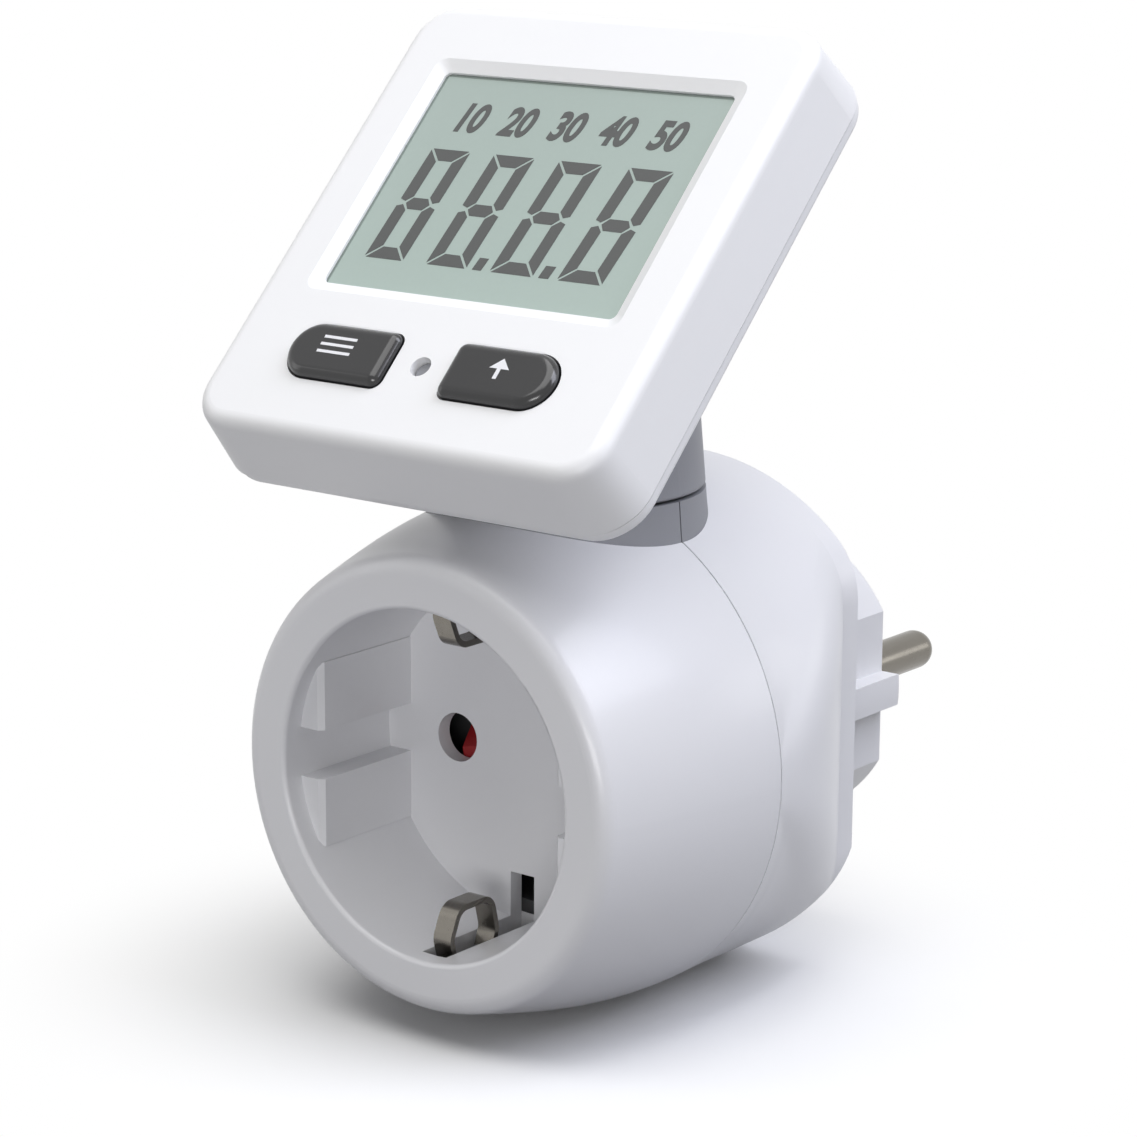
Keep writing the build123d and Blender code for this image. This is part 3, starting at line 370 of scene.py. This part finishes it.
finishOf = {
    "front_shell": shellGloss, "rear_shell": rearGloss,
    "pin_left": nickelPlate, "pin_right": nickelPlate,
    "earth_clip_top": nickelPlate, "earth_clip_bottom": nickelPlate,
    "socket_contact_left": nickelPlate, "socket_contact_right": nickelPlate,
    "battery_clip": nickelPlate,
    "shutter": shutterRed, "contact_carrier": carrierDark,
    "collar_front": neckGrey, "collar_rear": neckGrey, "neck_post": neckGrey,
    "reset_button": neckGrey,
    "head_front_case": headSatin, "head_back_cover": headSatin,
    "mode_button": buttonGloss, "up_button": buttonGloss,
    "lcd_panel": crystalGreen, "lcd_holder": partBlack, "lcd_connector": rubberDark,
    "main_board": boardGreen, "display_board": boardGreen,
    "film_capacitor": filmYellow, "storage_capacitor": partBlack, "metering_chip": partBlack,
    "mode_switch": partBlack, "up_switch": partBlack, "reset_switch": partBlack,
    "shunt_resistor": manganinStrip, "ribbon_cable": cableGrey,
    "body_screws": zincSteel, "board_screws": zincSteel, "neck_screws": zincSteel,
    "cover_screws": zincSteel, "shutter_spring": zincSteel, "backup_battery": zincSteel,
}
for name, node in nodes.items():
    node.data.materials.clear()
    node.data.materials.append(finishOf[name])
print("finishes set on", len(finishOf), "nodes")

# display head, in its own axes
head = {
    "middle": (0.0, -50.1, 63.7),  # mm, middle of the display on the front face
    "tilt": 45.0,  # degrees, lean back from upright
    "glassDepth": 1.03,  # mm behind the front face
    "buttonDepth": -1.0,
    "printThick": 0.03,
}


def onHead(across, upward, depth):
    # head axes to the part's frame, as arrays: across along X, upward along the face, depth into it
    tilt = math.radians(head["tilt"])
    across, upward, depth = np.broadcast_arrays(across, upward, depth)
    x0, y0, z0 = head["middle"]
    x = x0 + across
    y = y0 + upward * math.sin(tilt) + depth * math.cos(tilt)
    z = z0 + upward * math.cos(tilt) - depth * math.sin(tilt)
    return np.stack([x, y, z], axis=-1) * mm


def printOrShadePiece(name, outlines, depth, thickness, material, body):
    # flat shapes of print or painted shadow, of equal point count, each a thin closed prism; outlines
    # is (shape, point, 2)
    outlines = np.asarray(outlines, float)
    count, corners = outlines.shape[:2]
    front = onHead(outlines[..., 0], outlines[..., 1], depth - thickness)
    back = onHead(outlines[..., 0], outlines[..., 1], depth)
    points = np.concatenate([front, back], axis=1).reshape(-1, 3)
    base = (np.arange(count) * 2 * corners)[:, None]
    ring = np.arange(corners)
    caps = np.concatenate([base + ring, base + corners + ring[::-1]])
    beside = np.roll(ring, -1)
    sides = np.stack([ring, ring + corners, beside + corners, beside], axis=1)
    sides = (base[:, :, None] + sides[None]).reshape(-1, 4)
    mesh = bpy.data.meshes.new(name)
    mesh.from_pydata(points.tolist(), [], caps.tolist() + sides.tolist())
    mesh.update()
    mesh.materials.append(material)
    piece = addObject(name, mesh)
    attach(piece, body)


# figures on the display
figures = {
    # left side, width, and lean to the right over the height
    "places": ((-16.8, 5.5, 0.65), (-8.05, 5.65, 0.8), (0.85, 5.85, 1.0), (10.0, 5.9, 1.33)),
    "low": -10.9,  # mm from the middle of the display, as are the places
    "high": 4.6,
    "stroke": 1.6,
    "gap": 0.196,  # how far each stroke ends before its neighbour's bevel
    "tipShare": 1.4,  # of the gap, at the tips of the middle stroke
    "shoulderShare": 0.6,  # of the gap, behind these tips
    "pointShare": 1.2,  # of the gap, at the inner points of the upright strokes
    "bevelShare": 0.4,  # of half a stroke, at their outer corners
    "points": ((-1.55, 1.25), (7.5, 1.35)),  # left side, width
    "pointHeight": 1.65,
    "pointLean": 0.2,
}


def sevenStrokes(left, width, slant, look):
    # one figure: seven strokes of six corners, cut off level or along 45 degrees, and then moved
    # to the right by slant times the share of the height
    low, high, stroke, gap = (look[k] for k in ("low", "high", "stroke", "gap"))
    middle, half, right = (low + high) / 2, stroke / 2, left + width
    tip = half + gap * look["tipShare"]
    shoulder = stroke + gap * look["shoulderShare"]

    def outerLevel(outer, inner):
        # level stroke at the foot or the head of the figure, its long side outside
        return [(left + gap, outer), (left + half, outer),
                (right - half, outer), (right - gap, outer),
                (right - stroke - gap, inner), (left + stroke + gap, inner)]

    def middleLevel(y):
        # level stroke across the middle, pointed at both ends
        return [(left + tip, y), (left + shoulder, y + half), (right - shoulder, y + half),
                (right - tip, y), (right - shoulder, y - half), (left + shoulder, y - half)]

    def upright(outer, inward, end, towards):
        # upright stroke from the foot or the head of the figure to its middle; inward (across) and
        # towards (up or down) are 1 or -1
        inner, mid = outer + inward * stroke, outer + inward * half
        bevel = half * look["bevelShare"]
        return [(outer, end + towards * gap), (mid, end + towards * (half + gap)),
                (inner, end + towards * (stroke + gap)), (inner, middle - towards * (half + gap)),
                (mid, middle - towards * gap * look["pointShare"]),
                (outer, middle - towards * (bevel + gap))]

    strokes = np.array([
        outerLevel(high, high - stroke), outerLevel(low, low + stroke), middleLevel(middle),
        upright(left, 1, high, -1), upright(right, -1, high, -1),
        upright(left, 1, low, 1), upright(right, -1, low, 1),
    ])
    strokes[..., 0] += slant * (strokes[..., 1] - low) / (high - low)
    return counterClockwise(strokes)


def counterClockwise(outlines):
    # shoelace area tells the way round; the wrong way round is turned over
    x, y = outlines[..., 0], outlines[..., 1]
    area = (x * np.roll(y, -1, axis=1) - np.roll(x, -1, axis=1) * y).sum(axis=1)
    return np.where((area < 0)[:, None, None], outlines[:, ::-1], outlines)


def decimalPoints(look):
    # small leaning squares on the line that the figures stand on
    low, lean = look["low"], look["pointLean"]
    top = low + look["pointHeight"]
    return np.array([[(x, low), (x + width, low), (x + width + lean, top), (x + lean, top)]
                     for x, width in look["points"]])


strokes = np.concatenate([sevenStrokes(*place, figures) for place in figures["places"]])
printOrShadePiece("display_figures", strokes, head["glassDepth"], head["printThick"],
             crystalDark, "head")
printOrShadePiece("display_points", decimalPoints(figures), head["glassDepth"], head["printThick"],
             crystalDark, "head")

# painted shadow of the window walls on the glass, along its top and its left
shadowBand = {"side": 20.05, "top": 15.15, "width": 0.32, "thick": 0.02}


def shadowStrips(look):
    # two four-cornered strips of painted shadow that meet in the upper left corner
    side, top, width = (look[k] for k in ("side", "top", "width"))
    return counterClockwise(np.array([
        [(-side, top), (side, top), (side, top - width), (-side, top - width)],
        [(-side, -top), (-side, top - width), (width - side, top - width), (width - side, -top)],
    ]))


printOrShadePiece("display_painted_shadow", shadowStrips(shadowBand), head["glassDepth"], shadowBand["thick"],
             shadowInk, "head")

# row of plain numbers over the figures
smallFigures = {
    # text, middle across
    "marks": (("10", -13.4), ("20", -6.6), ("30", 0.2), ("40", 7.0), ("50", 13.8)),
    "low": 7.4,  # mm from the middle of the display
    "height": 4.0,
    "capShare": 0.73,  # height of a figure over the size of the typeface
    "bold": 0.2,
    "lean": 0.18,
    "narrow": 0.74,
    "curveSteps": 6,
}


def letterPiece(name, text, across, look):
    # a plain number from the built-in typeface, made a mesh and laid on the glass
    curve = bpy.data.curves.new(name, "FONT")
    curve.body = text
    curve.align_x = "CENTER"
    curve.size = look["height"] / look["capShare"]
    curve.shear = look["lean"]
    curve.offset = look["bold"]
    curve.resolution_u = look["curveSteps"]
    curve.extrude = head["printThick"] / 2
    mesh = meshFromCurve(name, curve)
    points = np.empty(len(mesh.vertices) * 3, np.float32)
    mesh.vertices.foreach_get("co", points)
    points = points.reshape(-1, 3)
    depth = head["glassDepth"] - head["printThick"] / 2 - points[:, 2]
    placed = onHead(points[:, 0] * look["narrow"] + across, points[:, 1] + look["low"], depth)
    mesh.vertices.foreach_set("co", placed.astype(np.float32).ravel())
    mesh.update()
    mesh.materials.append(crystalDark)
    piece = addObject(name, mesh)
    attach(piece, "head")


for text, across in smallFigures["marks"]:
    letterPiece("display_mark_" + text, text, across, smallFigures)
print("display figures made")

# marks on the buttons
buttonMarks = {
    "modeMiddle": (-11.4, -24.1),  # mm from the middle of the display, across and upward
    "barWidth": 4.6,
    "barHeight": 0.36,
    "barPitch": 0.95,
    "upMiddle": (10.9, -24.1),
    "arrowWidth": 2.6,
    "arrowHeight": 1.3,
    "stemWidth": 0.5,
    "stemHeight": 1.3,
    "thick": 0.02,
}


def menuBars(look):
    # three level bars, one above the other
    x, y = look["modeMiddle"]
    w, h = look["barWidth"] / 2, look["barHeight"] / 2
    rows = y + np.array([-1, 0, 1]) * look["barPitch"]
    corner = np.array([(-w, -h), (w, -h), (w, h), (-w, h)])
    return np.stack([corner + (x, row) for row in rows])


def upArrow(look):
    # arrow head over a stem, as one seven-cornered outline
    x, y = look["upMiddle"]
    a, b = look["arrowWidth"] / 2, look["stemWidth"] / 2
    top, base = look["arrowHeight"], -look["stemHeight"]
    return np.array([[(x - b, y + base), (x + b, y + base), (x + b, y), (x + a, y), (x, y + top),
                      (x - a, y), (x - b, y)]])


printOrShadePiece("mode_button_mark", menuBars(buttonMarks), head["buttonDepth"], buttonMarks["thick"],
             markWhite, "mode_button_body")
printOrShadePiece("up_button_mark", upArrow(buttonMarks), head["buttonDepth"], buttonMarks["thick"],
             markWhite, "up_button_body")
print("button marks made")

# cable from the main board through the collar and the neck to the display board
boardCable = {
    "bends": ((5.5, -29.2, 17.5), (4.6, -35.0, 19.5), (3.0, -39.4, 25.0), (1.0, -43.0, 38.0)),
    "headUpward": -1.4,  # mm, where it passes the hole in the back of the head
    "headDepths": (11.05, 7.45),
    "radius": 1.2,
    "twistAxis": -42.1,  # mm along Y, the upright axis of the neck
    "twistHeights": (24.0, 40.0),
    "steps": 12,
}


def makeCable(name, look):
    # round sheath along a smooth curve through the bends
    bends = np.array(look["bends"]) * mm
    inHead = onHead(0.0, look["headUpward"], np.array(look["headDepths"]))
    route = np.concatenate([bends, inHead])
    curve = bpy.data.curves.new(name, "CURVE")
    curve.dimensions = "3D"
    curve.bevel_depth = look["radius"] * mm
    curve.use_fill_caps = True
    curve.resolution_u = look["steps"]
    spline = curve.splines.new("BEZIER")
    spline.bezier_points.add(len(route) - 1)
    spline.bezier_points.foreach_set("co", route.astype(np.float32).ravel())
    for point in spline.bezier_points:
        point.handle_left_type = point.handle_right_type = "AUTO"
    mesh = meshFromCurve(name, curve)
    mesh.materials.append(cableGrey)
    cable = addObject(name, mesh)
    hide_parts("ribbon_cable")
    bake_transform(cable)


makeCable("board_cable", boardCable)
print("cable made")

# stage and light
stage = {
    "floorSeen": "FEFEFE",
    "floorBounce": "7C7C80",
    "floorSize": 8.0,  # metres, as are all lengths here
    "glowMiddle": (0.0, -0.042),  # under the middle of the body
    "glowStart": 0.018,  # distances from there
    "glowFull": 0.07,
    "ambient": 0.13,
    "ambientColour": "F6F7F9",
    "aim": (0, -0.04, 0.02),  # the middle of the object
}


def seenRays(tree):
    # 1 for rays that show the background: straight from the camera, mirrored or through glass
    path = addNode(tree, "ShaderNodeLightPath")
    direct = addNode(tree, "ShaderNodeMath", {"operation": "MAXIMUM"},
                     {0: path.outputs["Is Camera Ray"], 1: path.outputs["Is Transmission Ray"]})
    both = addNode(tree, "ShaderNodeMath", {"operation": "MAXIMUM"},
                   {0: direct.outputs[0], 1: path.outputs["Is Glossy Ray"]})
    return both.outputs[0]


def makeFloor(look, level):
    # flat sheet z = level over a square, lit by the lamps; what is seen of it turns to plain white
    # with the distance from the object, and it throws back less light than it shows
    half = look["floorSize"] / 2
    corners = [(-half, -half, level), (half, -half, level), (half, half, level), (-half, half, level)]
    mesh = bpy.data.meshes.new("floor")
    mesh.from_pydata(corners, [], [(0, 1, 2, 3)])
    material, tree, shader, place = newMaterial(
        "matteWhitePaper", {"Roughness": 0.9, "Specular IOR Level": 0.0})
    seen = seenRays(tree)
    colour = addNode(tree, "ShaderNodeMixRGB",
                     {"Color1": linear(look["floorBounce"]), "Color2": linear(look["floorSeen"])},
                     {"Fac": seen})
    tree.links.new(colour.outputs["Color"], shader.inputs["Base Color"])
    away = addNode(tree, "ShaderNodeVectorMath",
                   {"operation": "DISTANCE", 1: (*look["glowMiddle"], level)}, {0: place})
    glow = addNode(tree, "ShaderNodeMapRange",
                   {"interpolation_type": "SMOOTHSTEP", "From Min": look["glowStart"],
                    "From Max": look["glowFull"]},
                   {"Value": away.outputs["Value"]})
    share = addNode(tree, "ShaderNodeMath", {"operation": "MULTIPLY"},
                    {0: seen, 1: glow.outputs["Result"]})
    white = addNode(tree, "ShaderNodeEmission", {"Strength": 1.0})
    mixed = addNode(tree, "ShaderNodeMixShader",
                    links={0: share.outputs[0], 1: shader.outputs[0], 2: white.outputs[0]})
    tree.links.new(mixed.outputs[0], tree.nodes["Material Output"].inputs["Surface"])
    mesh.materials.append(material)
    addObject("floor", mesh)


def makeLamp(name, place, size, power, colour):
    # rectangular soft box aimed at the middle of the object
    data = bpy.data.lights.new(name, "AREA")
    data.shape = "RECTANGLE"
    data.size, data.size_y = size
    data.energy = power
    data.color = linear(colour)[:3]
    lamp = addObject(name, data)
    facing = (Vector(place) - Vector(stage["aim"])).to_track_quat("Z", "Y")
    lamp.matrix_world = Matrix.Translation(Vector(place)) @ facing.to_matrix().to_4x4()


def makeWorld(look):
    # even grey light all round; the camera, reflections and glass see plain white
    world = bpy.data.worlds.new("studio")
    bpy.context.scene.world = world
    world.use_nodes = True
    tree = world.node_tree
    tree.nodes.clear()
    seen = seenRays(tree)
    light = addNode(tree, "ShaderNodeBackground",
                    {"Color": linear(look["ambientColour"]), "Strength": look["ambient"]})
    white = addNode(tree, "ShaderNodeBackground", {"Color": linear("FFFFFF"), "Strength": 1.0})
    mixed = addNode(tree, "ShaderNodeMixShader",
                    links={0: seen, 1: light.outputs[0], 2: white.outputs[0]})
    addNode(tree, "ShaderNodeOutputWorld", links={"Surface": mixed.outputs[0]})


# place and size in metres, power in watts, colour
lamps = {
    "topBox": ((0.0, -0.2, 0.86), (0.9, 0.9), 5.9, "FFFFFF"),
    "leftBox": ((-0.9, -0.6, 0.3), (0.4, 0.7), 0.8, "FFFFFF"),
    "frontBox": ((0.45, -0.92, 0.03), (0.5, 0.3), 3.9, "FFFFFF"),
    "rightBox": ((0.6, 0.16, 0.74), (0.5, 0.7), 5.8, "EEF1FF"),
    "rearBox": ((0.62, 0.74, 0.22), (0.4, 0.24), 0.5, "FFFFFF"),
}

makeFloor(stage, cadBox[0][2])
makeWorld(stage)
for name, settings in lamps.items():
    makeLamp(name, *settings)
print("stage and", len(lamps), "lamps set")
